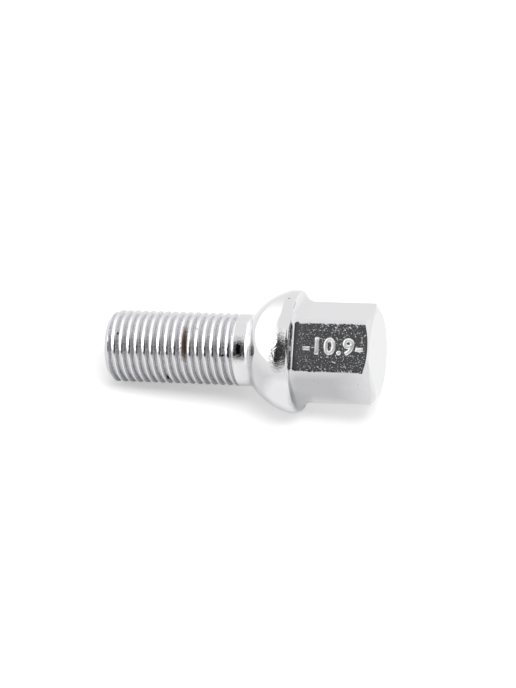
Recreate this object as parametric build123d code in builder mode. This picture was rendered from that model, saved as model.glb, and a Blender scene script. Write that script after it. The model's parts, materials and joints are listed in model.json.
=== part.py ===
from build123d import *
import os
from math import atan2, cos, radians, sin, sqrt, tan

# A wheel bolt, forged and turned as one piece, lying as it comes to rest:
# on the shoulder of its tip and on the edge of its round collar.
# Lengths are millimetres along the bolt, counted from the face of its tip.

# Threaded shank, as the cylinder that its crests lie on
thread_size = 14.0  # nominal diameter
crest_allowance = 0.07  # the crests lie this far inside the nominal radius
tip_chamfer = 1.0  # 45 degree chamfer at the tip
shoulder_round = 0.3  # worn edges that the bolt rests on: the tip's shoulder and the collar's edge

# Plain neck between the thread and the ball seat
neck_diameter = 13.8
neck_length = 2.7
neck_fillet = 0.4  # where the neck runs into the seat
shank_length = 28.4  # from the tip's face to the start of the seat

# Ball seat and collar
seat_radius = 12.0
band_inset = 0.3  # the collar's round band is turned this far into the ball
band_length = 1.25  # from the ball to the rim's rounding
rim_round = 0.6

# Hexagon
across_flats = 17.0
corner_round = 1.2
flange_fillet = 2.4  # hollow between the flats and the back of the collar
hexagon_length = 14.8  # from the back of the collar to the end face
end_face_radius = 8.0
end_chamfer_angle = 30.0
end_chamfer_crown = 8.0  # radius of the chamfer's slope, which is slightly crowned
hex_turn = 45.0  # one flat's normal, from the top of the bolt towards its front

# Radii and places along the bolt that follow from them
crest_radius = thread_size / 2 - crest_allowance
neck_radius = neck_diameter / 2
collar_radius = seat_radius - band_inset
neck_start = shank_length - neck_length
seat_centre = shank_length + sqrt(seat_radius**2 - neck_radius**2)
collar_start = seat_centre - sqrt(seat_radius**2 - collar_radius**2)
rim_start = collar_start + band_length
flange_plane = rim_start + rim_round
end_plane = flange_plane + hexagon_length
clear_radius = collar_radius + flange_fillet
corner_reach = across_flats / 2 / cos(radians(30))

# Centres of the two edges' roundings, as places along the bolt
shoulder_centre = tip_chamfer + shoulder_round * tan(radians(22.5))
edge_depth = sqrt((seat_radius - shoulder_round) ** 2 - (collar_radius - shoulder_round) ** 2)
edge_centre = seat_centre - edge_depth

# The bolt leans up towards its head, over the tip's shoulder and the collar's edge,
# and its bounding box stands centred on the origin
lean = atan2(collar_radius - crest_radius, edge_centre - shoulder_centre)
tip_radius = crest_radius - tip_chamfer
rear_reach = tip_radius * sin(lean)
front_reach = end_plane * cos(lean) + end_face_radius * sin(lean)
shoulder_height = (crest_radius - shoulder_round) * cos(lean) + shoulder_round
tip_height = shoulder_height - shoulder_centre * sin(lean)
tip_centre = Vector((rear_reach - front_reach) / 2, 0, tip_height)
along = Vector(cos(lean), 0, sin(lean))
top = Vector(-sin(lean), 0, cos(lean))
front = Vector(0, -1, 0)
bolt_axis = Axis(tip_centre, along)

# X runs along the bolt and Y is the distance from its axis, towards its front
lengthwise = Plane(origin=tip_centre, x_dir=along, z_dir=-top)


def across(distance):
    """Plane square to the bolt, this far from its tip, with X to its top and Y to its front."""
    return Plane(origin=tip_centre + along * distance, x_dir=top, z_dir=along)


# Points of the turned outline
seat_middle_radius = (neck_radius + collar_radius) / 2
seat_middle = (seat_centre - sqrt(seat_radius**2 - seat_middle_radius**2), seat_middle_radius)
rim_rise = rim_round * sin(radians(45))
rim_end = (rim_start + rim_rise, collar_radius - rim_round + rim_rise)
ridge_trim = 1.2  # the rim's 45 degree slope runs on this far over the corner ridges
ridge_end = (rim_end[0] + ridge_trim, rim_end[1] - ridge_trim)
chamfer_start = end_plane - (corner_reach - end_face_radius) * tan(radians(end_chamfer_angle))

with BuildPart() as wheel_bolt:
    # Hexagon standing on a blank of the collar, with a hollow between them
    with BuildSketch(across(flange_plane)):
        hexagon = RegularPolygon(across_flats / 2, 6, major_radius=False, rotation=hex_turn - 30)
        fillet(hexagon.vertices(), corner_round)
    extrude(amount=end_plane - flange_plane)
    with BuildSketch(across(shank_length)):
        Circle(clear_radius)
    extrude(amount=flange_plane - shank_length)
    foot = edges().filter_by_position(bolt_axis, flange_plane - 0.01, flange_plane + 0.01)
    fillet(foot.sort_by(SortBy.LENGTH)[:-1], flange_fillet)

    # Turned outline of the seat, the collar and the end face
    with BuildSketch(lengthwise):
        with BuildLine():
            Line((shank_length, 0), (shank_length, neck_radius))
            ThreePointArc((shank_length, neck_radius), seat_middle, (collar_start, collar_radius))
            Line((collar_start, collar_radius), (rim_start, collar_radius))
            RadiusArc((rim_start, collar_radius), rim_end, rim_round)
            Polyline(
                rim_end,
                ridge_end,
                (ridge_end[0], clear_radius),
                (chamfer_start, clear_radius),
                (chamfer_start, corner_reach),
            )
            RadiusArc((chamfer_start, corner_reach), (end_plane, end_face_radius), end_chamfer_crown)
            Polyline((end_plane, end_face_radius), (end_plane, 0), (shank_length, 0))
        make_face()
    revolve(axis=bolt_axis, mode=Mode.INTERSECT)

    # Shank with its chamfered tip and plain neck
    with BuildSketch(lengthwise):
        with BuildLine():
            Polyline(
                (0, 0),
                (0, tip_radius),
                (tip_chamfer, crest_radius),
                (neck_start, crest_radius),
                (neck_start, neck_radius),
                (shank_length, neck_radius),
                (shank_length, 0),
                close=True,
            )
        make_face()
    revolve(axis=bolt_axis)
    seat_start = edges().filter_by_position(bolt_axis, shank_length - 0.01, shank_length + 0.01)
    fillet(seat_start, neck_fillet)

    # Worn edges that touch the ground
    shoulder = edges().filter_by_position(bolt_axis, tip_chamfer - 0.01, tip_chamfer + 0.01)
    fillet(shoulder, shoulder_round)
    band_edge = edges().filter_by_position(bolt_axis, collar_start - 0.01, collar_start + 0.01)
    fillet(band_edge, shoulder_round)

wheel_bolt.part.label = "wheel_bolt"
os.makedirs("parts", exist_ok=True)
export_step(wheel_bolt.part, "parts/wheel_bolt.step")
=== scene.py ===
import json
from math import atan2, cos, pi, radians, sin, sqrt, tan

import bmesh
import bpy
from bpy.props import FloatProperty, FloatVectorProperty, PointerProperty, StringProperty
from bpy.types import Operator, Panel, PropertyGroup
from mathutils import Matrix, Vector, noise


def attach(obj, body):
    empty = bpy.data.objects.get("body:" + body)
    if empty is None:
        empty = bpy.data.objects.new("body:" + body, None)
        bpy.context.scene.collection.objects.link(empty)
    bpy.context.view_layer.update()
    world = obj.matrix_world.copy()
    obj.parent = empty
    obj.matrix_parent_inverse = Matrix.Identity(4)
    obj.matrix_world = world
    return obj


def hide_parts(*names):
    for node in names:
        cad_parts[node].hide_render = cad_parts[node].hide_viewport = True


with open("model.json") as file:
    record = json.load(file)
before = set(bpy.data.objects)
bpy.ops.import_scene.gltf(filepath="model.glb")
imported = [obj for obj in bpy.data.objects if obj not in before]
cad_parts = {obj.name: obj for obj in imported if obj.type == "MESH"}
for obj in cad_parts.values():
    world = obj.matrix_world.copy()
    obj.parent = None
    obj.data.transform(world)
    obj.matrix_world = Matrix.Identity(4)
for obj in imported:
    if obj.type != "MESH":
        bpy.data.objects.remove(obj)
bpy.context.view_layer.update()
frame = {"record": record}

bl_info = {
    "name": "Wheel Bolt",
    "version": (1, 0, 0),
    "blender": (4, 5, 0),
    "location": "View3D > Sidebar > Wheel Bolt",
    "description": "Builds a chromed wheel bolt with a ball seat around its solid model",
    "category": "Object",
}

MM = 0.001
BODY = "root"
SOLID = "wheel_bolt"
CHAMFER = radians(45)  # slope of the tip's chamfer and of the rim's end
mounts = {mount["name"]: mount for mount in frame["record"]["mounts"]}

# Steps of the thread's mesh
THREAD_STEPS = 144  # round one turn
LEAD_TURNS = 3  # turns that start before the tip, to be cut off there
FLANK_CUTS = 3
THREAD_SMOOTH = radians(35)  # edges that turn by more stay sharp
CUT_WIDTH = 1e-7
MERGE = 0.002 * MM  # for the thread and the marking

# Rows of the head's mesh, along the bolt
NECK_STEPS = 5
BALL_STEPS = 26
EDGE_STEPS = 3
RIM_STEPS = 5
HOLLOW_STEPS = 12
FLAT_ROWS = 84
CHAMFER_STEPS = 4
HEAD_MERGE = 0.001 * MM
HEAD_SMOOTH = radians(20)
HALVINGS = 40  # to find where the hollow comes out of the rim

# Forged grain: its strength on each face of the hexagon, from the front one round by the ground,
# its two kinds of pimple as (size, level, shift), and the rows over which it fades at each end
FACE_GRAIN = (1.0, 0.04, 0.15, 0.2, 0.15, 0.04)
PIMPLES = ((0.4, 0.25, (0, 0, 0)), (0.6, 0.3, (7, 3, 1)))
PIMPLE_SLOPE = 3
GRAIN_FADE = (5, 4)

# The raised marking, in millimetres
MARKING_LENGTH = 11.6
MARKING_SHIFT = 0.35  # from the flat's middle towards the head
MARKING_SINK = 0.14  # its strokes' middle lies this far inside the flat
FONT_SCALE = 1.38  # size of the font over the height of its digits
FONT_SPACING = 1.12
STROKE_INSET = 0.16
STROKE_WALL = 0.01
STROKE_ROUND = 0.36
STROKE_EDGE = 0.5  # longer edges are cut up before the strokes are worn
STROKE_CUTS = 3
WEAR_SIZE = 0.6
WEAR_DEPTH = 0.06
WEAR_SEED = 1  # without one, Blender's vector noise follows the clock

# Marks on the plating, and painted shade. A place is millimetres along the bolt, millimetres from its
# axis and degrees round from its top. A reach is millimetres along and round.
SPOT_DEPTH = 1.6
BALL_PATCH = ((35.4, 11.8, 52), (1.5, 3.6))
NECK_RIPPLES = ((26.7, 6.9, 48), (1.0, 3.0))
NECK_SPOT = ((26.75, 6.9, 51), (0.42, 1.2))
FILLET_RIPPLES = ((28.9, 7.4, 56), (0.7, 2.4))
# Painted shade: a grey patch that darkens the flat facing the ground
LOWER_FLAT_SHADE = ((40.5, 8.5, 103), (9.5, 5.2))
RIM_SHADE = ((38.6, 10.4, 128), (1.5, 5.5))
FRONT_PAD = ((45.1, 8.5, 45), (6.3, 4.55))
BROWN_STAIN = ((16.05, 6.5, 44), (0.75, 3.0))
BLACK_WEDGE = ((12.3, 6.5, 119), (0.6, 0.95))
# Small specks and pits: where they are, their size and their tone
SPECKS = (
    ((32.68, 10.6, 46.4), 0.13, 0.1),
    ((36.2, 11.7, -6), 0.2, 0.3),
    ((37.2, 11.4, 160), 0.28, 0.2),
    ((41.69, 8.5, 89), 0.16, 0.35),
    ((42.36, 8.5, 93), 0.12, 0.35),
    ((39.52, 8.5, 98), 0.12, 0.35),
    ((43.37, 8.5, 114), 0.1, 0.4),
    ((45.04, 8.5, 123), 0.12, 0.4),
    ((49.98, 8.5, 94), 0.12, 0.35),
)
THREAD_SPECKS = (
    ((2.69, 6.5, 30.2), 0.2),
    ((17.9, 6.5, 17), 0.14),
    ((18.3, 6.5, 20), 0.12),
    ((23.6, 6.5, 63), 0.2),
)

# The soft box overhead, and the camera: its elevation and azimuth in degrees, the place on the bolt
# that it aims at, how far it stands to the right and up from there, in millimetres, and its lens
LAMP_SIZE = (0.6, 0.5)
LAMP_PLACE = (0.2, -0.25, 0.8)
LAMP_TURN = (radians(17), radians(13), 0)
CAMERA_ELEVATION = 38.85
CAMERA_AZIMUTH = 12.95
CAMERA_AIM = 11
CAMERA_SHIFT = (17.2, 0.577)
CAMERA_LENS = 130.6
SENSOR_WIDTH = 36


def mount_place(name):
    """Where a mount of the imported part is, in metres, and which way it faces."""
    return Vector(mounts[name]["pos_m"]), Vector(mounts[name]["axis"])


def bolt_matrix(sizes):
    """From the bolt's own axes, X from its tip's face to its head and Z to its top, to the row frame."""
    shank, outwards = mount_place("threaded_shank")
    along = -outwards.normalized()
    wall_start = sizes.tip_chamfer + sizes.shoulder_round * tan(CHAMFER / 2)
    tip = shank - along * (mounts["threaded_shank"]["dims"]["length_mm"] / 2 * MM + wall_start)
    side = Vector((0, 1, 0))
    top = along.cross(side)
    turn = Matrix((along, side, top)).transposed().to_4x4()
    return Matrix.Translation(tip) @ turn


class BoltSizes(PropertyGroup):
    """Sizes of the bolt along and around its own axis."""

    tip_chamfer: FloatProperty(
        name="Tip chamfer",
        description="Width of the 45 degree chamfer at the tip",
        default=1.0 * MM,
        unit="LENGTH",
    )
    shoulder_round: FloatProperty(
        name="Shoulder rounding",
        description="Worn edges that the bolt rests on",
        default=0.3 * MM,
        unit="LENGTH",
    )
    pitch: FloatProperty(
        name="Pitch",
        description="Distance between the crests",
        default=1.5 * MM,
        unit="LENGTH",
    )
    thread_depth: FloatProperty(
        name="Thread depth",
        description="From the crests to the roots",
        default=0.75 * MM,
        unit="LENGTH",
    )
    crest_width: FloatProperty(
        name="Crest width", description="Flat of each crest", default=0.1 * MM, unit="LENGTH"
    )
    lip_width: FloatProperty(
        name="Lip width",
        description="Worn slope on the tip's side of each crest",
        default=0.62 * MM,
        unit="LENGTH",
    )
    lip_slope: FloatProperty(
        name="Lip slope",
        description="Middle slope of that crowned lip",
        default=radians(22),
        subtype="ANGLE",
    )
    lip_crown: FloatProperty(
        name="Lip crown",
        description="How much its slope changes on each side",
        default=radians(6),
        subtype="ANGLE",
    )
    crest_round: FloatProperty(
        name="Crest rounding",
        description="Rounding at the crests and the roots",
        default=0.03 * MM,
        unit="LENGTH",
    )
    thread_start: FloatProperty(
        name="Thread start",
        description="Distance from the tip at which the first crest passes the top of the bolt",
        default=0.484 * MM,
        unit="LENGTH",
    )
    run_out: FloatProperty(
        name="Run-out",
        description="Length over which the last roots rise",
        default=1.3 * MM,
        unit="LENGTH",
    )
    neck_radius: FloatProperty(
        name="Neck radius",
        description="Plain neck",
        default=6.9 * MM,
        unit="LENGTH",
    )
    neck_length: FloatProperty(
        name="Neck length",
        description="Plain neck, thread to ball",
        default=2.7 * MM,
        unit="LENGTH",
    )
    neck_fillet: FloatProperty(
        name="Neck fillet",
        description="Where the neck runs into the ball",
        default=1.5 * MM,
        unit="LENGTH",
    )
    shank_length: FloatProperty(
        name="Shank length",
        description="From the tip's face to the ball",
        default=28.4 * MM,
        unit="LENGTH",
    )
    band_inset: FloatProperty(
        name="Band inset",
        description="How far the collar's band is turned into the ball",
        default=0.3 * MM,
        unit="LENGTH",
    )
    band_length: FloatProperty(
        name="Band length", description="The collar's round band", default=1.25 * MM, unit="LENGTH"
    )
    rim_round: FloatProperty(
        name="Rim rounding",
        description="Rounding at the back of the band",
        default=0.6 * MM,
        unit="LENGTH",
    )
    corner_round: FloatProperty(
        name="Corner rounding",
        description="Rounding of the hexagon's corners",
        default=1.2 * MM,
        unit="LENGTH",
    )
    flange_fillet: FloatProperty(
        name="Flange fillet",
        description="Hollow between the flats and the collar",
        default=2.4 * MM,
        unit="LENGTH",
    )
    end_face_radius: FloatProperty(
        name="End face", description="Radius of the flat end face", default=8.0 * MM, unit="LENGTH"
    )
    end_chamfer_angle: FloatProperty(
        name="End chamfer",
        description="Slope of the end chamfer",
        default=radians(30),
        subtype="ANGLE",
    )
    end_chamfer_crown: FloatProperty(
        name="Chamfer crown",
        description="Radius of the chamfer's slope",
        default=8.0 * MM,
        unit="LENGTH",
    )
    flank_angle: FloatProperty(
        name="Flank angle",
        description="Slope of the thread's flanks",
        default=radians(27),
        subtype="ANGLE",
    )
    grain_depth: FloatProperty(
        name="Grain depth",
        description="Depth of the forged grain on the flats",
        default=0.05 * MM,
        unit="LENGTH",
    )
    marking: StringProperty(
        name="Marking",
        description="Raised strength grade on the front flat",
        default="-10.9-",
    )
    marking_height: FloatProperty(
        name="Marking height",
        description="Height of the raised digits",
        default=3.0 * MM,
        unit="LENGTH",
    )


class BoltFinish(PropertyGroup):
    """Colours and finish of the plating."""

    plating: FloatVectorProperty(
        name="Plating",
        description="Colour of the chrome plating",
        default=(0.74, 0.74, 0.75),
        subtype="COLOR",
    )
    # Full white, brighter than the plating: painted sheen on the digits
    digits: FloatVectorProperty(
        name="Digits",
        description="Colour of the raised digits",
        default=(1.0, 1.0, 1.0),
        subtype="COLOR",
    )
    # Purple-grey, and lighter than the plating: painted light that lifts the shade in the grooves
    groove: FloatVectorProperty(
        name="Grooves",
        description="Colour of the thread's grooves",
        default=(0.84, 0.83, 0.86),
        subtype="COLOR",
    )
    tarnish: FloatVectorProperty(
        name="Tarnish",
        description="Brownish plating on the ball, by the collar",
        default=(0.35, 0.31, 0.30),
        subtype="COLOR",
    )
    forged: FloatVectorProperty(
        name="Forged flat",
        description="Plating over the forged grain",
        default=(0.66, 0.66, 0.68),
        subtype="COLOR",
    )
    stain: FloatVectorProperty(
        name="Stain",
        description="Colour of the stain on the thread",
        default=(0.17, 0.11, 0.075),
        subtype="COLOR",
    )
    polish: FloatProperty(
        name="Polish",
        description="Roughness of the plating",
        default=0.06,
        min=0,
        max=1,
    )


class StageSettings(PropertyGroup):
    """Floor, light and camera."""

    floor_colour: FloatVectorProperty(
        name="Floor", description="Colour of the floor", default=(0.82, 0.82, 0.82), subtype="COLOR"
    )
    ambient: FloatProperty(
        name="Ambient",
        description="Level of the light from all round",
        default=0.4,
        min=0,
    )
    overhead: FloatProperty(
        name="Overhead",
        description="Power of the soft box overhead",
        default=4.9,
        min=0,
    )
    floor_reach: FloatProperty(
        name="Floor reach",
        description="From the middle of the floor to its sides",
        default=0.3,
        unit="LENGTH",
    )
    camera_lift: FloatProperty(
        name="Camera lift",
        description="Light that the floor adds towards the camera",
        default=0.37,
        min=0,
    )
    mirror_lift: FloatProperty(
        name="Mirror lift",
        description="Light that the floor adds in the bolt's reflections",
        default=0.27,
        min=0,
    )
    camera_distance: FloatProperty(
        name="Camera distance",
        description="From the camera to the bolt",
        default=480 * MM,
        unit="LENGTH",
    )


# What stands round the bolt: the two azimuths that it spans, from the front (-Y) towards the head (+X),
# and the two elevations, each with the softness of that edge, in degrees. Last comes its level, where
# 1 is white. Later ones cover earlier ones.
SURROUNDINGS = {
    "left_soft_box": ((-138, 16), (-58, 4), (-9, 14), (40, 3), 1.5),
    "left_lamp": ((-97, 8), (-56, 3), (0, 5), (36, 3), 2.6),
    "right_soft_box": ((88, 6), (150, 6), (-20, 6), (25, 6), 1.08),
    "front_ceiling": ((-62, 8), (88, 8), (58, 2), (80, 8), 1.12),
    "dark_room": ((-62, 1.5), (88, 1.5), (30, 1.5), (58, 1.5), 0.1),
    "dark_wall": ((-58, 1.5), (88, 1.5), (13, 1.5), (32, 3), 0.05),
    "dark_bench": ((-51, 1.5), (-16, 1.5), (-4, 1.5), (20, 3), 0.02),
}


def turned(distance, radius, angle):
    """Point this far along the bolt and from its axis, at this angle from its top towards its front."""
    return Vector((distance, -radius * sin(angle), radius * cos(angle)))


def arc(centre, radius, start, end, steps):
    """Points of an arc as (distance, radius) pairs. Its angles count from the tip's side outwards."""
    angles = [start + (end - start) * i / steps for i in range(steps + 1)]
    return [(centre[0] - radius * cos(a), centre[1] + radius * sin(a)) for a in angles]


def finish_mesh(bm, name, sizes, materials, smooth_angle=None):
    """Turns a mesh made in the bolt's own axes into an object that rides on the bolt's body."""
    bmesh.ops.transform(bm, matrix=bolt_matrix(sizes), verts=bm.verts)
    bmesh.ops.recalc_face_normals(bm, faces=bm.faces)
    for face in bm.faces:
        face.smooth = True
    mesh = bpy.data.meshes.new(name)
    bm.to_mesh(mesh)
    bm.free()
    if smooth_angle is not None:
        mesh.set_sharp_from_angle(angle=smooth_angle)
    for material in materials:
        mesh.materials.append(material)
    obj = bpy.data.objects.new(name, mesh)
    bpy.context.scene.collection.objects.link(obj)
    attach(obj, BODY)
    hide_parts(SOLID)
    return obj


class Finish:
    """A plated finish, whose pattern lies in the bolt's own axes, in millimetres."""

    def __init__(self, name, colour, roughness, sizes):
        self.material = bpy.data.materials.new(name)
        self.material.use_nodes = True
        self.nodes, self.links = self.material.node_tree.nodes, self.material.node_tree.links
        self.shader = self.nodes["Principled BSDF"]
        self.shader.inputs["Metallic"].default_value = 1
        self.shader.inputs["Base Color"].default_value = (*colour, 1)
        self.shader.inputs["Roughness"].default_value = roughness
        matrix = bolt_matrix(sizes)
        self.place = self.mapping(matrix.translation, (MM, MM, MM), matrix.to_euler())
        self.link(self.add("TexCoord").outputs["Object"], self.place.inputs["Vector"])

    def add(self, kind, **values):
        """A node with these values on its sockets."""
        node = self.nodes.new("ShaderNode" + kind)
        for socket, value in values.items():
            node.inputs[socket.replace("_", " ")].default_value = value
        return node

    def link(self, source, target):
        self.links.new(source, target)

    def mapping(self, location, scale, rotation):
        """A node that goes over to axes with this place, scale and turn."""
        node = self.add("Mapping", Location=location, Scale=scale, Rotation=rotation)
        node.vector_type = "TEXTURE"
        return node

    def math(self, operation, first, second):
        node = self.nodes.new("ShaderNodeMath")
        node.operation = operation
        for socket, value in zip(node.inputs, (first, second)):
            if isinstance(value, (int, float)):
                socket.default_value = value
            else:
                self.link(value, socket)
        return node.outputs[0]

    def both(self, first, second):
        """A mask, times another mask or a number."""
        return self.math("MULTIPLY", first, second)

    def noise(self, size, detail=2.0, roughness=0.5):
        """Noise with features of this size in millimetres."""
        node = self.add("TexNoise", Scale=1 / size, Detail=detail, Roughness=roughness)
        self.link(self.place.outputs["Vector"], node.inputs["Vector"])
        return node.outputs["Fac"]

    def ramp(self, source, low, high, to_low=0.0, to_high=1.0):
        """The source, spread from one range to another."""
        node = self.add("MapRange", From_Min=low, From_Max=high, To_Min=to_low, To_Max=to_high)
        self.link(source, node.inputs["Value"])
        return node.outputs["Result"]

    def vector_math(self, operation, source, *factors):
        node = self.nodes.new("ShaderNodeVectorMath")
        node.operation = operation
        self.link(source, node.inputs[0])
        if factors:
            node.inputs[1].default_value = factors
        return node.outputs["Value" if operation == "LENGTH" else "Vector"]

    def depth(self, start, end):
        """0 outside one radius from the bolt's axis and 1 inside the other."""
        across = self.vector_math("MULTIPLY", self.place.outputs["Vector"], 0, 1, 1)
        return self.ramp(self.vector_math("LENGTH", across), start, end)

    def spot(self, place, reach, ragged=0.3, edge=0.25, size=0.35, square=False):
        """1 inside a ragged spot or a square one with ragged sides, and 0 outside."""
        distance, radius, angle = place[0], place[1], radians(place[2])
        centre = turned(distance, radius, angle)
        where = self.mapping(centre, (*reach, SPOT_DEPTH), (angle, 0, 0))
        self.link(self.place.outputs["Vector"], where.inputs["Vector"])
        if square:
            part = self.add("SeparateXYZ")
            self.link(self.vector_math("ABSOLUTE", where.outputs["Vector"]), part.inputs[0])
            across = self.math("MAXIMUM", part.outputs[1], part.outputs[2])
            away = self.math("MAXIMUM", part.outputs[0], across)
        else:
            away = self.vector_math("LENGTH", where.outputs["Vector"])
        wave = self.ramp(self.noise(size, 3.0, 0.7), 0.3, 0.7, -ragged, ragged)
        return self.ramp(self.math("ADD", away, wave), 1 + edge, 1 - edge)

    def blend(self, socket, kind, mask, value):
        """Mixes a value into this socket of the shader where the mask is 1."""
        mix = self.nodes.new("ShaderNodeMix")
        mix.data_type = kind
        first, second = [s for s in mix.inputs if s.type == socket.type and s.name in "AB"]
        first.default_value = socket.default_value
        if socket.is_linked:
            self.link(socket.links[0].from_socket, first)
        second.default_value = value
        self.link(mask, mix.inputs["Factor"])
        self.link([s for s in mix.outputs if s.type == socket.type][0], socket)

    def stain(self, mask, colour):
        """Mixes a colour in where the mask is 1."""
        self.blend(self.shader.inputs["Base Color"], "RGBA", mask, (*colour, 1))

    def rough(self, mask, roughness):
        """Changes the roughness to this value where the mask is 1."""
        self.blend(self.shader.inputs["Roughness"], "FLOAT", mask, roughness)

    def relief(self, height, depth):
        """Adds relief of this depth in millimetres."""
        bump = self.add("Bump", Strength=1.0, Distance=depth * MM)
        self.link(height, bump.inputs["Height"])
        target = self.shader.inputs["Normal"]
        if target.is_linked:
            self.link(target.links[0].from_socket, bump.inputs["Normal"])
        self.link(bump.outputs["Normal"], target)


def bright_chrome(finish, sizes):
    """Chrome on the turned seat, collar, neck and flats, with small dents, pits and ragged patches, and
    painted shade on the lower flat and the rim below it.
    """
    chrome = Finish("bright_chrome", finish.plating, finish.polish, sizes)
    duller = finish.polish + 0.08
    chrome.relief(chrome.noise(2.2, 2.0), 0.012)
    chrome.rough(chrome.ramp(chrome.noise(1.5, 4.0, 0.65), 0.5, 0.75), duller)

    patch = chrome.spot(*BALL_PATCH, ragged=0.2, edge=0.3)
    tarnish = chrome.ramp(chrome.noise(0.6, 3.0, 0.7), 0.45, 0.6)
    chrome.relief(chrome.both(chrome.noise(0.9, 3.0, 0.6), patch), 0.07)
    chrome.stain(chrome.both(patch, tarnish), finish.tarnish)

    neck = chrome.spot(*NECK_RIPPLES, ragged=0.1, edge=0.2, square=True)
    chrome.relief(chrome.both(chrome.noise(0.6, 3.0, 0.7), neck), 0.09)
    chrome.stain(chrome.spot(*NECK_SPOT, ragged=0.5, edge=0.15), (0.03, 0.03, 0.03))
    fillet = chrome.spot(*FILLET_RIPPLES, ragged=0.4, edge=0.4)
    chrome.relief(chrome.both(chrome.noise(0.25, 4.0, 0.8), fillet), 0.03)

    # Painted shade: greys the flat facing the ground
    flat_shade = chrome.spot(*LOWER_FLAT_SHADE, ragged=0.05, edge=0.5, size=2.0, square=True)
    chrome.stain(chrome.both(flat_shade, 0.9), (0.44, 0.44, 0.45))
    shade = chrome.spot(*RIM_SHADE, ragged=0.15, edge=0.3, size=0.8, square=True)
    chrome.stain(chrome.both(shade, 0.7), (0.4, 0.4, 0.41))
    for place, size, tone in SPECKS:
        speck = chrome.spot(place, (size, size), ragged=0.3, edge=0.3, size=0.2)
        chrome.stain(speck, (tone, tone, tone))

    front = chrome.spot(*FRONT_PAD, ragged=0.05, edge=0.03, size=0.5, square=True)
    chrome.relief(chrome.both(chrome.noise(0.16, 2.0, 0.6), front), 0.008)
    chrome.rough(front, duller)
    sparse = chrome.ramp(chrome.noise(0.3, 2.0, 0.6), 0.63, 0.7)
    chrome.relief(chrome.both(sparse, front), 0.06)
    chrome.stain(front, finish.forged)
    return chrome.material


def thread_chrome(finish, sizes):
    """Chrome on the thread: speckled in its grooves, with painted highlights on the crests, painted
    light in the grooves and painted shade below, and with a brown stain and specks.
    """
    chrome = Finish("thread_chrome", finish.plating, finish.polish, sizes)
    crest = mounts["threaded_shank"]["dims"]["r_mm"]
    part = chrome.add("SeparateXYZ")
    chrome.link(chrome.place.outputs["Vector"], part.inputs[0])
    beyond_tip = chrome.ramp(part.outputs["X"], 0.4, 1.2)
    painted_shade_ramp = chrome.ramp(part.outputs["Z"], 3.4, -5.0)

    groove = chrome.both(beyond_tip, chrome.depth(crest - 0.24, crest - 0.32))
    speckle = chrome.both(groove, chrome.ramp(chrome.noise(0.3, 4.0, 0.8), 0.47, 0.53))
    # Painted highlight and shade: all but the crests' tips is dimmed, so the crests show as bright lines
    chrome.stain(chrome.depth(crest, crest - 0.06), (0.66, 0.66, 0.67))
    # Painted light: the grooves' lighter tint lifts the shade that their shape casts
    chrome.stain(groove, finish.groove)
    dots = chrome.both(groove, chrome.ramp(chrome.noise(0.2, 3.0, 0.7), 0.55, 0.6))
    chrome.stain(chrome.both(dots, 0.7), (0.2, 0.2, 0.22))
    # Painted shade: all but the crests' tips turns greyer towards the bottom of the thread
    below = chrome.both(painted_shade_ramp, chrome.depth(crest - 0.01, crest - 0.05))
    chrome.stain(below, (0.34, 0.34, 0.36))
    chrome.rough(groove, 0.22)
    chrome.rough(speckle, 0.6)
    chrome.relief(chrome.both(chrome.noise(0.3, 4.0, 0.75), groove), 0.06)
    chrome.relief(chrome.noise(0.8, 2.0), 0.012)

    stain = chrome.spot(*BROWN_STAIN, ragged=0.5, edge=0.45)
    chrome.stain(chrome.both(stain, 0.8), finish.stain)
    chrome.rough(stain, 0.45)
    chrome.stain(chrome.spot(*BLACK_WEDGE, ragged=0.3, edge=0.12), (0.01, 0.01, 0.01))
    for place, size in THREAD_SPECKS:
        speck = chrome.spot(place, (size, size), ragged=0.3, edge=0.2)
        chrome.stain(speck, (0.02, 0.02, 0.02))
    return chrome.material


def worn_and_sheen_chrome(finish, sizes):
    """Worn, rougher chrome on the raised digits, in a white brighter than the plating: painted sheen."""
    chrome = Finish("worn_and_sheen_chrome", finish.digits, finish.polish + 0.05, sizes)
    chrome.relief(chrome.noise(0.3, 3.0, 0.7), 0.02)
    chrome.rough(chrome.ramp(chrome.noise(0.4, 4.0, 0.7), 0.2, 0.45), 0.5)
    return chrome.material


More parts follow.
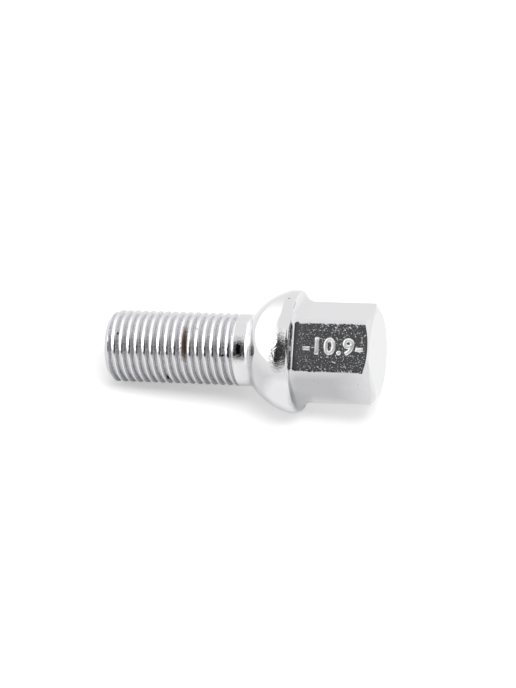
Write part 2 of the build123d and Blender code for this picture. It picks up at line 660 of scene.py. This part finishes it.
class WHEELBOLT_OT_thread(Operator):
    """Build the threaded shank with its chamfered tip and its run-out"""

    bl_idname = "wheel_bolt.thread"
    bl_label = "Threaded shank"

    def execute(self, context):
        sizes = context.scene.bolt_sizes
        crest = mounts["threaded_shank"]["dims"]["r_mm"] * MM
        root = crest - sizes.thread_depth
        start = sizes.thread_start - LEAD_TURNS * sizes.pitch
        outline = self.outline(sizes, crest, root)
        bm = bmesh.new()
        points = [bm.verts.new((start + distance, 0, radius)) for distance, radius in outline]
        for pair in zip(points, points[1:]):
            bm.edges.new(pair)
        bmesh.ops.bevel(
            bm,
            geom=points[1:-1],
            offset=sizes.crest_round,
            segments=2,
            profile=0.5,
            affect="VERTICES",
        )
        long_edges = [edge for edge in bm.edges if edge.calc_length() > 5 * sizes.crest_round]
        bmesh.ops.subdivide_edges(bm, edges=long_edges, cuts=FLANK_CUTS)
        end = sizes.shank_length - sizes.neck_length
        bmesh.ops.spin(
            bm,
            geom=bm.verts[:] + bm.edges[:],
            cent=(0, 0, 0),
            axis=(1, 0, 0),
            dvec=(sizes.pitch / THREAD_STEPS, 0, 0),
            angle=2 * pi,
            steps=THREAD_STEPS,
            use_merge=False,
            use_duplicate=False,
        )
        one_turn = bm.verts[:] + bm.edges[:] + bm.faces[:]
        for turn in range(1, int((end - start) / sizes.pitch) + 2):
            copy = bmesh.ops.duplicate(bm, geom=one_turn)["geom"]
            moved = [item for item in copy if isinstance(item, bmesh.types.BMVert)]
            bmesh.ops.translate(bm, vec=(turn * sizes.pitch, 0, 0), verts=moved)
        bmesh.ops.remove_doubles(bm, verts=bm.verts, dist=MERGE)
        for vert in bm.verts:
            radius = sqrt(vert.co.y**2 + vert.co.z**2)
            rising = root + (crest - root) * (vert.co.x - end + sizes.run_out) / sizes.run_out
            wanted = min(max(radius, min(rising, crest)), self.shoulder(sizes, crest, vert.co.x))
            vert.co.y *= wanted / radius
            vert.co.z *= wanted / radius
        for place, outer in ((0, False), (end, True)):
            bmesh.ops.bisect_plane(
                bm,
                geom=bm.verts[:] + bm.edges[:] + bm.faces[:],
                dist=CUT_WIDTH,
                plane_co=(place, 0, 0),
                plane_no=(1, 0, 0),
                clear_outer=outer,
                clear_inner=not outer,
            )
        bmesh.ops.holes_fill(bm, edges=[e for e in bm.edges if e.is_boundary], sides=0)
        chrome = thread_chrome(context.scene.bolt_finish, sizes)
        finish_mesh(bm, "threaded_shank", sizes, [chrome], THREAD_SMOOTH)
        return {"FINISHED"}

    def outline(self, sizes, crest, root):
        """(distance, radius) over one pitch: a narrow crest, the groove and the next crest's lip."""
        lip_step = sizes.lip_width / 3
        lip = [(sizes.pitch, crest)]
        for change in (-sizes.lip_crown, 0, sizes.lip_crown):
            distance, radius = lip[0]
            fall = lip_step * tan(sizes.lip_slope + change)
            lip.insert(0, (distance - lip_step, radius - fall))
        head_flank = (crest - root) * tan(sizes.flank_angle)
        tip_flank = (lip[0][1] - root) * tan(sizes.flank_angle)
        return [
            (0, crest),
            (sizes.crest_width, crest),
            (sizes.crest_width + head_flank, root),
            (sizes.pitch - sizes.lip_width - tip_flank, root),
            *lip,
        ]

    def shoulder(self, sizes, crest, distance):
        """Largest radius that the chamfered tip leaves here, with its shoulder rounded."""
        rounding = sizes.shoulder_round
        tangent = rounding * tan(CHAMFER / 2)
        centre = sizes.tip_chamfer + tangent
        if distance >= centre:
            return crest
        if distance > centre - rounding * sin(CHAMFER):
            return crest - rounding + sqrt(rounding**2 - (centre - distance) ** 2)
        return crest - sizes.tip_chamfer + max(distance, -0.5 * MM)


class HeadShape:
    """Form of the neck, ball, collar and hexagon, with a column for each point of the hexagon."""

    FLAT_STEPS = 60
    CORNER_STEPS = 10

    def __init__(self, sizes):
        self.sizes = sizes
        seat, _ = mount_place("ball_seat")
        self.ball_radius = mounts["ball_seat"]["dims"]["r_mm"] * MM
        front, normal = mount_place("wrench_flat_front")
        back, _ = mount_place("wrench_flat_back")
        end, _ = mount_place("head_end")
        to_bolt = bolt_matrix(sizes).inverted()
        self.seat_centre = (to_bolt @ seat).x
        self.end_plane = (to_bolt @ end).x
        facing = to_bolt.to_3x3() @ normal
        self.flat_turn = atan2(-facing.y, facing.z)
        self.apothem = (front - back).dot(normal) / 2
        self.band_radius = self.ball_radius - sizes.band_inset
        self.band_start = self.seat_centre - sqrt(self.ball_radius**2 - self.band_radius**2)
        self.rim_start = self.band_start + sizes.band_length
        self.flange = self.rim_start + sizes.rim_round
        rise = sizes.rim_round * sin(CHAMFER)
        self.rim_end = (self.rim_start + rise, self.band_radius - sizes.rim_round + rise)
        reach = self.apothem / cos(radians(30))
        start = self.end_plane - (reach - sizes.end_face_radius) * tan(sizes.end_chamfer_angle)
        middle = Vector(((start + self.end_plane) / 2, (reach + sizes.end_face_radius) / 2))
        chord = Vector((self.end_plane - start, sizes.end_face_radius - reach))
        inwards = Vector((chord.y, -chord.x)).normalized()
        depth = sqrt(sizes.end_chamfer_crown**2 - (chord.length / 2) ** 2)
        self.crown_centre = middle + inwards * depth
        self.columns = list(self.hexagon_columns())

    def hexagon_columns(self):
        """(y, z) of each outline point and of its outward normal, going round towards the front."""
        rounding = self.sizes.corner_round
        half_flat = (self.apothem - rounding) * tan(radians(30))
        corner_centre = (self.apothem - rounding) / cos(radians(30))
        for face in range(6):
            turn = self.flat_turn + face * radians(60)
            out = Vector((-sin(turn), cos(turn)))
            side = Vector((-cos(turn), -sin(turn)))
            for step in range(self.FLAT_STEPS):
                offset = half_flat * (2 * step / self.FLAT_STEPS - 1)
                yield out * self.apothem + side * offset, out
            corner = turn + radians(30)
            centre = Vector((-sin(corner), cos(corner))) * corner_centre
            for step in range(self.CORNER_STEPS):
                angle = turn + radians(60) * step / self.CORNER_STEPS
                normal = Vector((-sin(angle), cos(angle)))
                yield centre + normal * rounding, normal

    def grain(self, column, distance):
        """How deep the forged surface lies under the true flat here. The front flat has most of it."""
        base = self.columns[column][0]
        face, step = divmod(column, self.FLAT_STEPS + self.CORNER_STEPS)
        strength = FACE_GRAIN[face]
        if step > self.FLAT_STEPS:
            following = FACE_GRAIN[(face + 1) % 6]
            strength += (following - strength) * (step - self.FLAT_STEPS) / self.CORNER_STEPS
        place = Vector((distance, *base)) / MM
        pimples = sum(
            max(0, noise.noise(place / size + Vector(shift)) - level) for size, level, shift in PIMPLES
        )
        return max(0, 1 - PIMPLE_SLOPE * pimples) * strength * self.sizes.grain_depth

    def slope(self, distance):
        """Radius of the rim's 45 degree slope."""
        return self.rim_end[1] - (distance - self.rim_end[0])

    def hollow(self, column, angle):
        """(distance, y, z) on the hollow, from its foot on the flange at 0 to the flat at 90 degrees."""
        base, normal = self.columns[column]
        fillet = self.sizes.flange_fillet
        place = base + normal * fillet * (1 - sin(angle))
        return self.flange + fillet * (1 - cos(angle)), place.x, place.y

    def hollow_start(self, column):
        """Angle at which the hollow comes out of the rim's slope, or 0 where it starts on the flange."""

        def outside(angle):
            distance, y, z = self.hollow(column, angle)
            return sqrt(y * y + z * z) - self.slope(distance)

        if outside(0) <= 0:
            return 0
        low, high = 0, radians(45)
        for _ in range(HALVINGS):
            middle = (low + high) / 2
            low, high = (middle, high) if outside(middle) > 0 else (low, middle)
        return high

    def chamfer(self, radius):
        """Distance along the bolt of the crowned chamfer at this radius."""
        offset = radius - self.crown_centre.y
        return self.crown_centre.x + sqrt(self.sizes.end_chamfer_crown**2 - offset**2)

    def turned_rows(self):
        """(distance, radius) from the neck to the end of the rim's rounding."""
        sizes, ball = self.sizes, self.ball_radius
        neck_start = sizes.shank_length - sizes.neck_length
        fillet = sizes.neck_fillet
        centre_radius = sizes.neck_radius + fillet
        centre = self.seat_centre - sqrt((ball + fillet) ** 2 - centre_radius**2)
        tangent = atan2(centre_radius, self.seat_centre - centre)
        rows = [(neck_start, sizes.neck_radius)]
        for i in range(NECK_STEPS):
            angle = (pi / 2 - tangent) * i / NECK_STEPS
            rows.append((centre + fillet * sin(angle), centre_radius - fillet * cos(angle)))
        rounding = sizes.shoulder_round
        edge_radius = self.band_radius - rounding
        edge_depth = sqrt((ball - rounding) ** 2 - edge_radius**2)
        edge_angle = atan2(edge_radius, edge_depth)
        rows += arc((self.seat_centre, 0), ball, tangent, edge_angle, BALL_STEPS)
        edge_centre = (self.seat_centre - edge_depth, edge_radius)
        rows += arc(edge_centre, rounding, edge_angle, pi / 2, EDGE_STEPS)[1:]
        rows.append((self.rim_start, self.band_radius))
        rim_centre = (self.rim_start, self.band_radius - sizes.rim_round)
        rows += arc(rim_centre, sizes.rim_round, pi / 2, radians(135), RIM_STEPS)[1:]
        return rows


class WHEELBOLT_OT_head(Operator):
    """Build the neck, ball seat, collar and hexagon"""

    bl_idname = "wheel_bolt.head"
    bl_label = "Seat and hexagon"

    def execute(self, context):
        sizes = context.scene.bolt_sizes
        shape = HeadShape(sizes)
        count = len(shape.columns)
        turned_rows = shape.turned_rows()
        rows = len(turned_rows) + 1 + HOLLOW_STEPS + 1 + FLAT_ROWS + CHAMFER_STEPS
        bm = bmesh.new()
        points = [bm.verts.new((i, 0, 1)) for i in range(rows)]
        for pair in zip(points, points[1:]):
            bm.edges.new(pair)
        bmesh.ops.spin(
            bm,
            geom=bm.verts[:] + bm.edges[:],
            cent=(0, 0, 0),
            axis=(1, 0, 0),
            dvec=(0, 0, 0),
            angle=2 * pi,
            steps=count,
            use_merge=True,
            use_duplicate=False,
        )
        starts = [shape.hollow_start(column) for column in range(count)]
        foot = len(turned_rows)
        for vert in bm.verts:
            row = round(vert.co.x)
            column = round(atan2(-vert.co.y, vert.co.z) / (2 * pi) * count) % count
            vert.co = self.place(shape, starts, turned_rows, foot, row, column)
        bmesh.ops.remove_doubles(bm, verts=bm.verts, dist=HEAD_MERGE)
        bmesh.ops.holes_fill(bm, edges=[e for e in bm.edges if e.is_boundary], sides=0)
        chrome = bright_chrome(context.scene.bolt_finish, sizes)
        finish_mesh(bm, "seat_and_head", sizes, [chrome], HEAD_SMOOTH)
        return {"FINISHED"}

    def place(self, shape, starts, turned_rows, foot, row, column):
        """Where the vertex of this row and column belongs."""
        crossing = shape.hollow(column, starts[column])
        angle = atan2(-crossing[1], crossing[2])
        if row < foot:
            return turned(*turned_rows[row], angle)
        if row == foot:
            if starts[column] > 0:
                return Vector(crossing)
            return turned(shape.flange, shape.slope(shape.flange), angle)
        step = row - foot - 1
        if step <= HOLLOW_STEPS:
            start = starts[column]
            return Vector(shape.hollow(column, start + (pi / 2 - start) * step / HOLLOW_STEPS))
        base, normal = shape.columns[column]
        hollow_top = shape.flange + shape.sizes.flange_fillet
        edge = shape.chamfer(base.length)
        step -= HOLLOW_STEPS
        if step <= FLAT_ROWS:
            distance = hollow_top + (edge - hollow_top) * step / FLAT_ROWS
            fade = min(1, step / GRAIN_FADE[0], (FLAT_ROWS - step) / GRAIN_FADE[1])
            sunk = base - normal * shape.grain(column, distance) * fade
            return Vector((distance, sunk.x, sunk.y))
        step -= FLAT_ROWS
        radius = base.length + (shape.sizes.end_face_radius - base.length) * step / CHAMFER_STEPS
        return Vector((shape.chamfer(radius), *(base * (radius / base.length))))


class WHEELBOLT_OT_marking(Operator):
    """Build the raised strength grade on the front flat, with rounded, worn digits"""

    bl_idname = "wheel_bolt.marking"
    bl_label = "Raised marking"

    def execute(self, context):
        sizes = context.scene.bolt_sizes
        curve = bpy.data.curves.new("marking", "FONT")
        curve.body = sizes.marking
        curve.align_x = "CENTER"
        curve.align_y = "CENTER"
        curve.size = sizes.marking_height * FONT_SCALE
        curve.space_character = FONT_SPACING
        curve.offset = -STROKE_INSET * MM
        curve.extrude = STROKE_WALL * MM
        curve.bevel_depth = STROKE_ROUND * MM
        curve.bevel_resolution = 4
        curve.resolution_u = 6
        text = bpy.data.objects.new("marking_text", curve)
        context.scene.collection.objects.link(text)
        context.view_layer.update()
        made = text.evaluated_get(context.evaluated_depsgraph_get())
        flat = bpy.data.meshes.new_from_object(made)
        bpy.data.objects.remove(text)
        bm = bmesh.new()
        bm.from_mesh(flat)
        bpy.data.meshes.remove(flat)
        bmesh.ops.remove_doubles(bm, verts=bm.verts, dist=MERGE)
        long_edges = [edge for edge in bm.edges if edge.calc_length() > STROKE_EDGE * MM]
        bmesh.ops.subdivide_edges(bm, edges=long_edges, cuts=STROKE_CUTS)
        bmesh.ops.triangulate(bm, faces=bm.faces)
        noise.seed_set(WEAR_SEED)
        for vert in bm.verts:
            place = vert.co / MM
            vert.co += noise.noise_vector(place / WEAR_SIZE) * WEAR_DEPTH * MM
        low = min(vert.co.x for vert in bm.verts)
        high = max(vert.co.x for vert in bm.verts)
        stretch = MARKING_LENGTH * MM / (high - low)
        front, out = mount_place("wrench_flat_front")
        along = -mount_place("threaded_shank")[1]
        up = out.cross(along)
        centre = front + along * MARKING_SHIFT * MM - out * MARKING_SINK * MM
        turn = Matrix((along, up, out)).transposed().to_4x4()
        place = Matrix.Translation(centre) @ turn @ Matrix.Diagonal((stretch, 1, 1, 1))
        to_bolt = bolt_matrix(sizes).inverted()
        bmesh.ops.transform(bm, matrix=to_bolt @ place, verts=bm.verts)
        chrome = worn_and_sheen_chrome(context.scene.bolt_finish, sizes)
        finish_mesh(bm, "marking", sizes, [chrome])
        return {"FINISHED"}


class WHEELBOLT_OT_stage(Operator):
    """Build the floor, the light and the camera"""

    bl_idname = "wheel_bolt.stage"
    bl_label = "Stage"

    def execute(self, context):
        settings = context.scene.stage_settings
        self.floor(settings)
        self.tent(context, settings)
        self.camera(context, settings)
        context.scene.view_settings.view_transform = "Standard"
        return {"FINISHED"}

    def floor(self, settings):
        """A pale floor under the bolt, which shows white to the camera but keeps the shadow."""
        bm = bmesh.new()
        bmesh.ops.create_grid(bm, x_segments=1, y_segments=1, size=settings.floor_reach)
        mesh = bpy.data.meshes.new("floor")
        bm.to_mesh(mesh)
        bm.free()
        material = bpy.data.materials.new("floor_white")
        material.use_nodes = True
        nodes, links = material.node_tree.nodes, material.node_tree.links
        shader = nodes["Principled BSDF"]
        shader.inputs["Base Color"].default_value = (*settings.floor_colour, 1)
        shader.inputs["Roughness"].default_value = 1
        shader.inputs["Specular IOR Level"].default_value = 0
        path = nodes.new("ShaderNodeLightPath")
        mirrored = nodes.new("ShaderNodeMath")
        mirrored.operation = "MULTIPLY"
        mirrored.inputs[1].default_value = settings.mirror_lift
        links.new(path.outputs["Is Glossy Ray"], mirrored.inputs[0])
        lift = nodes.new("ShaderNodeMath")
        lift.operation = "MULTIPLY_ADD"
        lift.inputs[1].default_value = settings.camera_lift
        links.new(path.outputs["Is Camera Ray"], lift.inputs[0])
        links.new(mirrored.outputs[0], lift.inputs[2])
        links.new(lift.outputs[0], shader.inputs["Emission Strength"])
        shader.inputs["Emission Color"].default_value = (1, 1, 1, 1)
        mesh.materials.append(material)
        floor = bpy.data.objects.new("floor", mesh)
        bpy.context.scene.collection.objects.link(floor)

    def tent(self, context, settings):
        """White surroundings with soft boxes and a dark room in front, and the soft box overhead."""
        world = bpy.data.worlds.new("tent")
        world.use_nodes = True
        nodes, links = world.node_tree.nodes, world.node_tree.links
        background = nodes["Background"]
        direction = nodes.new("ShaderNodeTexCoord")
        level = None
        for name, (left, right, low, high, zone_level) in SURROUNDINGS.items():
            edges = []
            for (azimuth, softness), side in ((left, 1), (right, -1)):
                azimuth = radians(azimuth)
                edges.append(((side * cos(azimuth), side * sin(azimuth), 0), 0, softness))
            edges.append(((0, 0, 1), sin(radians(low[0])), low[1]))
            edges.append(((0, 0, -1), -sin(radians(high[0])), high[1]))
            inside = None
            for normal, offset, softness in edges:
                soft = sin(radians(softness))
                facing = nodes.new("ShaderNodeVectorMath")
                facing.operation = "DOT_PRODUCT"
                facing.inputs[1].default_value = normal
                links.new(direction.outputs["Generated"], facing.inputs[0])
                edge = nodes.new("ShaderNodeMapRange")
                edge.interpolation_type = "SMOOTHSTEP"
                edge.inputs["From Min"].default_value = offset - soft
                edge.inputs["From Max"].default_value = offset + soft
                links.new(facing.outputs["Value"], edge.inputs["Value"])
                if inside is None:
                    inside = edge.outputs["Result"]
                    continue
                both = nodes.new("ShaderNodeMath")
                both.operation = "MULTIPLY"
                links.new(inside, both.inputs[0])
                links.new(edge.outputs["Result"], both.inputs[1])
                inside = both.outputs[0]
            mix = nodes.new("ShaderNodeMix")
            mix.name = name
            mix.inputs["A"].default_value = 1
            mix.inputs["B"].default_value = zone_level
            links.new(inside, mix.inputs["Factor"])
            if level:
                links.new(level, mix.inputs["A"])
            level = mix.outputs["Result"]
        path = nodes.new("ShaderNodeLightPath")
        plain = nodes.new("ShaderNodeMix")
        plain.inputs["B"].default_value = 1
        links.new(path.outputs["Is Camera Ray"], plain.inputs["Factor"])
        links.new(level, plain.inputs["A"])
        lit = nodes.new("ShaderNodeMix")
        lit.inputs["B"].default_value = settings.ambient
        links.new(path.outputs["Is Diffuse Ray"], lit.inputs["Factor"])
        links.new(plain.outputs["Result"], lit.inputs["A"])
        links.new(lit.outputs["Result"], background.inputs["Strength"])
        background.inputs["Color"].default_value = (1, 1, 1, 1)
        context.scene.world = world

        light = bpy.data.lights.new("overhead_soft_box", "AREA")
        light.shape = "RECTANGLE"
        light.size, light.size_y = LAMP_SIZE
        light.energy = settings.overhead
        lamp = bpy.data.objects.new("overhead_soft_box", light)
        lamp.location = LAMP_PLACE
        lamp.rotation_euler = LAMP_TURN
        lamp.visible_glossy = False
        context.scene.collection.objects.link(lamp)

    def camera(self, context, settings):
        """The camera, looking down on the bolt from its front."""
        elevation, azimuth = radians(CAMERA_ELEVATION), radians(CAMERA_AZIMUTH)
        level = Vector((sin(azimuth), -cos(azimuth), 0))
        towards = level * cos(elevation) + Vector((0, 0, sin(elevation)))
        right = Vector((cos(azimuth), sin(azimuth), 0))
        up = towards.cross(right)
        aim = bolt_matrix(context.scene.bolt_sizes) @ Vector((CAMERA_AIM * MM, 0, 0))
        shift = right * CAMERA_SHIFT[0] * MM + up * CAMERA_SHIFT[1] * MM
        place = aim + shift + towards * settings.camera_distance
        data = bpy.data.cameras.new("camera")
        data.lens = CAMERA_LENS
        data.sensor_width = SENSOR_WIDTH
        data.clip_start = 0.01
        camera = bpy.data.objects.new("camera", data)
        turn = Matrix((right, up, towards)).transposed().to_4x4()
        camera.matrix_world = Matrix.Translation(place) @ turn
        context.scene.collection.objects.link(camera)
        context.scene.camera = camera


class WHEELBOLT_PT_panel(Panel):
    """The bolt's sizes, finish and stage"""

    bl_label = "Wheel Bolt"
    bl_idname = "WHEELBOLT_PT_panel"
    bl_space_type = "VIEW_3D"
    bl_region_type = "UI"
    bl_category = "Wheel Bolt"

    def draw(self, context):
        scene = context.scene
        for group in (scene.bolt_sizes, scene.bolt_finish, scene.stage_settings):
            box = self.layout.box()
            for name in group.__annotations__:
                box.prop(group, name)
        for operator in OPERATORS:
            self.layout.operator(operator.bl_idname)


GROUPS = {"bolt_sizes": BoltSizes, "bolt_finish": BoltFinish, "stage_settings": StageSettings}
OPERATORS = (WHEELBOLT_OT_thread, WHEELBOLT_OT_head, WHEELBOLT_OT_marking, WHEELBOLT_OT_stage)


def register():
    for name, group in GROUPS.items():
        bpy.utils.register_class(group)
        setattr(bpy.types.Scene, name, PointerProperty(type=group))
    for operator in OPERATORS:
        bpy.utils.register_class(operator)
    bpy.utils.register_class(WHEELBOLT_PT_panel)


def unregister():
    bpy.utils.unregister_class(WHEELBOLT_PT_panel)
    for operator in reversed(OPERATORS):
        bpy.utils.unregister_class(operator)
    for name, group in GROUPS.items():
        delattr(bpy.types.Scene, name)
        bpy.utils.unregister_class(group)


def main():
    register()
    bpy.ops.wheel_bolt.thread()
    bpy.ops.wheel_bolt.head()
    bpy.ops.wheel_bolt.marking()
    bpy.ops.wheel_bolt.stage()


if __name__ == "__main__":
    main()
